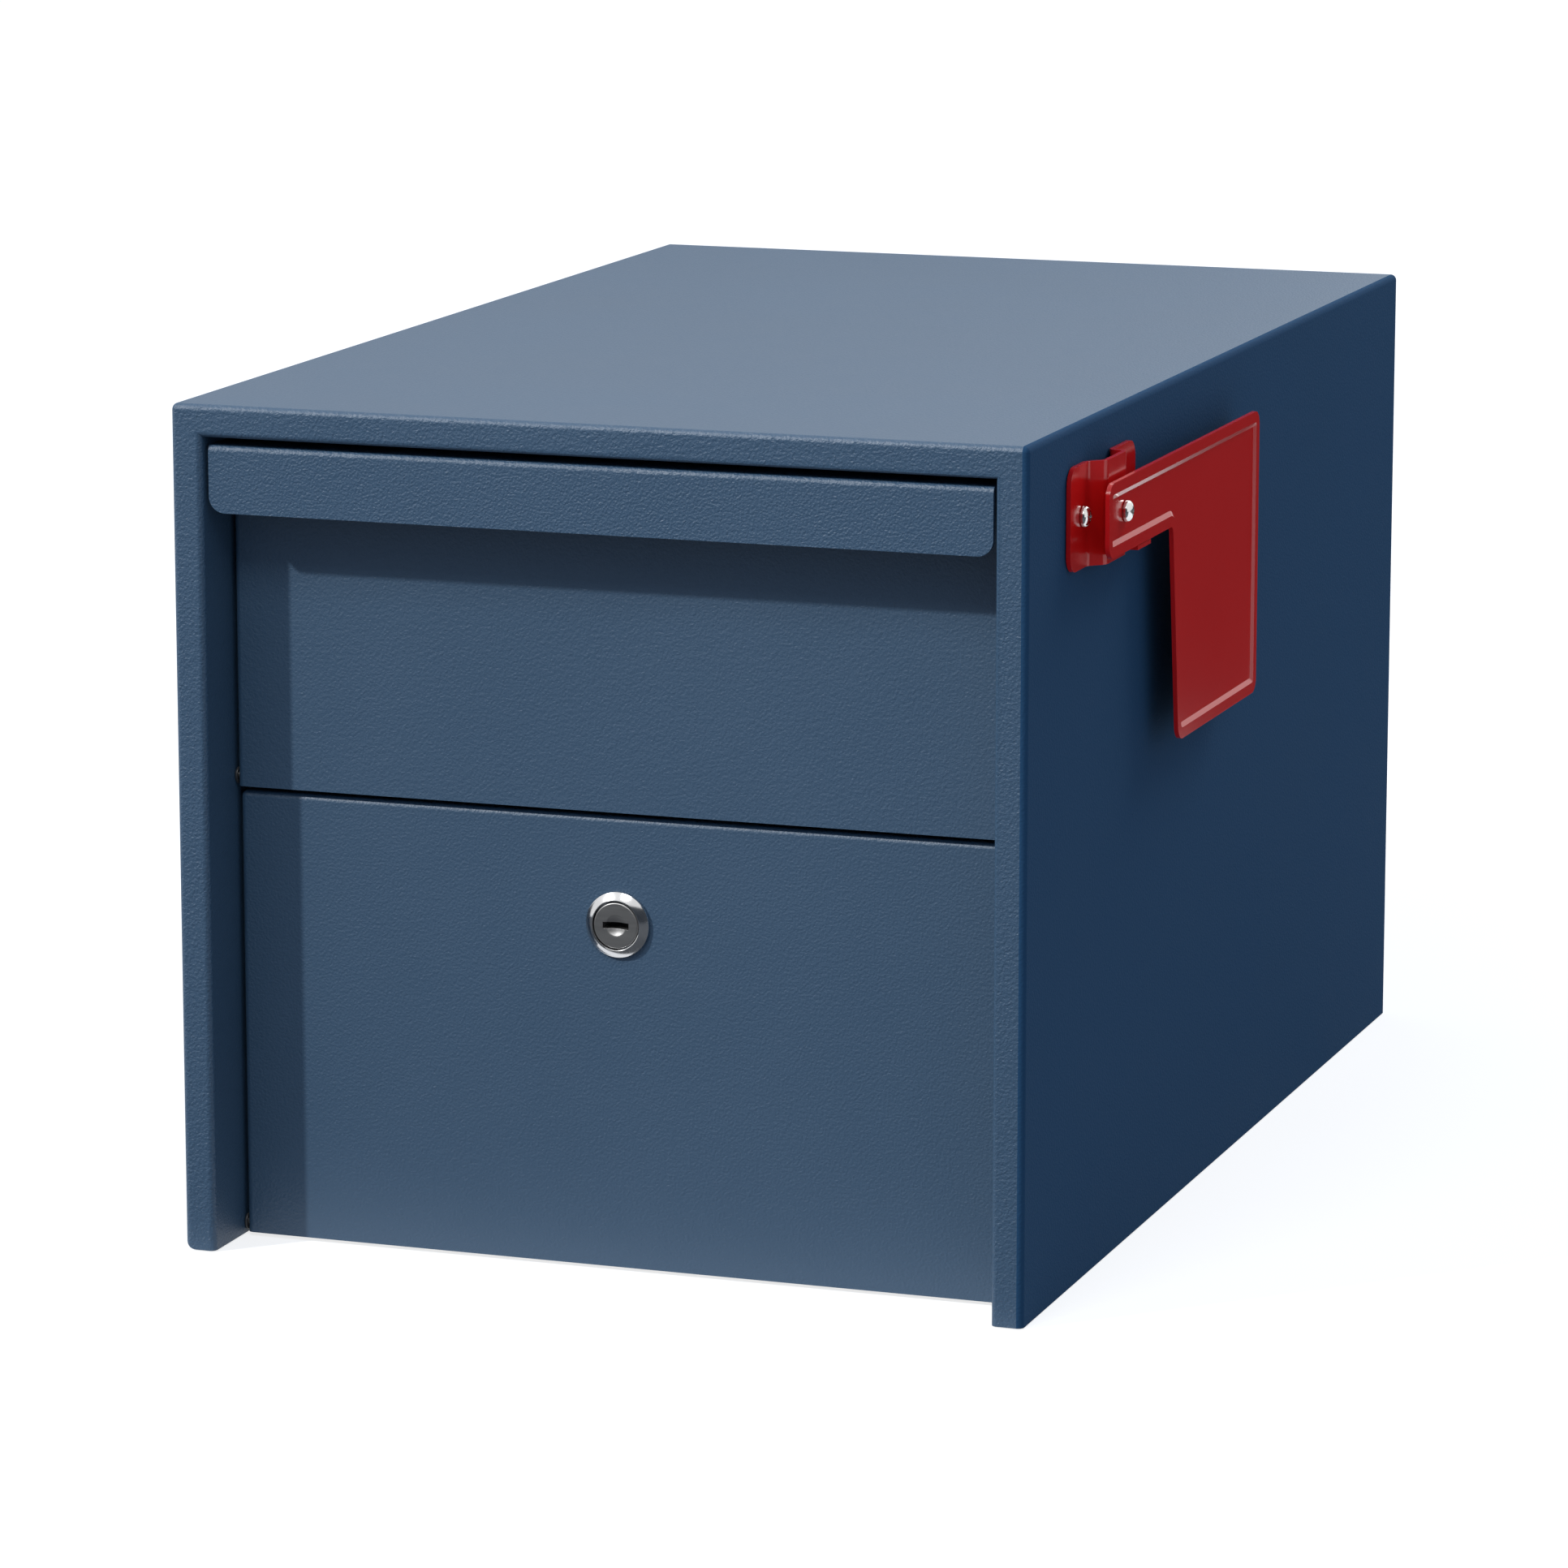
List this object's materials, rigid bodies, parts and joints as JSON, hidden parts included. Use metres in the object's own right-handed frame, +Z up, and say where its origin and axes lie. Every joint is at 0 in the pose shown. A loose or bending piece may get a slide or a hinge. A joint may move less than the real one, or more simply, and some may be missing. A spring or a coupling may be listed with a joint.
{
  "type": "locking mailbox",
  "caption": "Locking sheet-steel mailbox with a pull-down mail door over a keyed drop-front access door, and a side signal flag that swings up.",
  "frame": {"origin": "middle of the housing's underside, on the floor plate", "axes": "+X to the right seen from the front, +Y towards the back (the front faces -Y), +Z up"},
  "size_m": [0.3106, 0.472, 0.29],
  "materials": {
    "navy_paint": "textured powder coat",
    "red_enamel": "gloss enamel",
    "chrome_plate": "polished",
    "zinc_plate": "zinc plated",
    "black_rubber": "matte",
    "black_nylon": "satin"
  },
  "bodies": {
    "housing": {"access_door_bumper_left": "black_rubber", "access_door_bumper_right": "black_rubber", "access_door_hinge_rod": "zinc_plate", "access_door_retaining_ring_left": "zinc_plate", "access_door_retaining_ring_right": "zinc_plate", "back_panel": "navy_paint", "body_shell": "navy_paint", "flag_bracket": "red_enamel", "flag_bracket_nut_front": "zinc_plate", "flag_bracket_nut_rear": "zinc_plate", "flag_bracket_screw_front": "zinc_plate", "flag_bracket_screw_rear": "zinc_plate", "floor_plate": "navy_paint", "lock_rail": "navy_paint", "mail_door_bumper_left": "black_rubber", "mail_door_bumper_right": "black_rubber", "mail_door_hinge_rod": "zinc_plate", "mail_door_retaining_ring_left": "zinc_plate", "mail_door_retaining_ring_right": "zinc_plate", "rail_bracket_left": "navy_paint", "rail_bracket_right": "navy_paint", "rail_rivet_left": "zinc_plate", "rail_rivet_right": "zinc_plate"},
    "mail_door": {"hopper_plate": "navy_paint", "hopper_rivet_left_lower": "zinc_plate", "hopper_rivet_left_upper": "zinc_plate", "hopper_rivet_right_lower": "zinc_plate", "hopper_rivet_right_upper": "zinc_plate", "hopper_wing_left": "navy_paint", "hopper_wing_right": "navy_paint", "mail_door_panel": "navy_paint", "mail_door_spacer_left": "black_nylon", "mail_door_spacer_right": "black_nylon"},
    "access_door": {"access_door_panel": "navy_paint", "access_door_spacer_left": "black_nylon", "access_door_spacer_right": "black_nylon", "lock_body": "chrome_plate", "lock_nut": "zinc_plate", "lock_reinforcing_plate": "zinc_plate"},
    "lock": {"cam_screw": "zinc_plate", "cam_washer": "zinc_plate", "lock_cam": "zinc_plate", "lock_plug": "chrome_plate"},
    "flag": {"flag": "red_enamel", "flag_pivot_nut": "zinc_plate", "flag_pivot_screw": "zinc_plate", "flag_washer": "black_nylon"}
  },
  "joints": [
    {"name": "mail_door_hinge", "type": "hinge", "parent": "housing", "child": "mail_door", "pos_m": [0, -0.2107, 0.1604], "axis": [1, 0, 0], "range_deg": [0, 50]},
    {"name": "access_door_hinge", "type": "hinge", "parent": "housing", "child": "access_door", "pos_m": [0, -0.2087, 0.004], "axis": [1, 0, 0], "range_deg": [0, 85]},
    {"name": "lock_turn", "type": "hinge", "parent": "access_door", "child": "lock", "pos_m": [0, -0.212, 0.119], "axis": [0, -1, 0], "range_deg": [0, 90]},
    {"name": "flag_pivot", "type": "hinge", "parent": "housing", "child": "flag", "pos_m": [0.149, -0.1605, 0.2588], "axis": [1, 0, 0], "range_deg": [0, 90]}
  ]
}
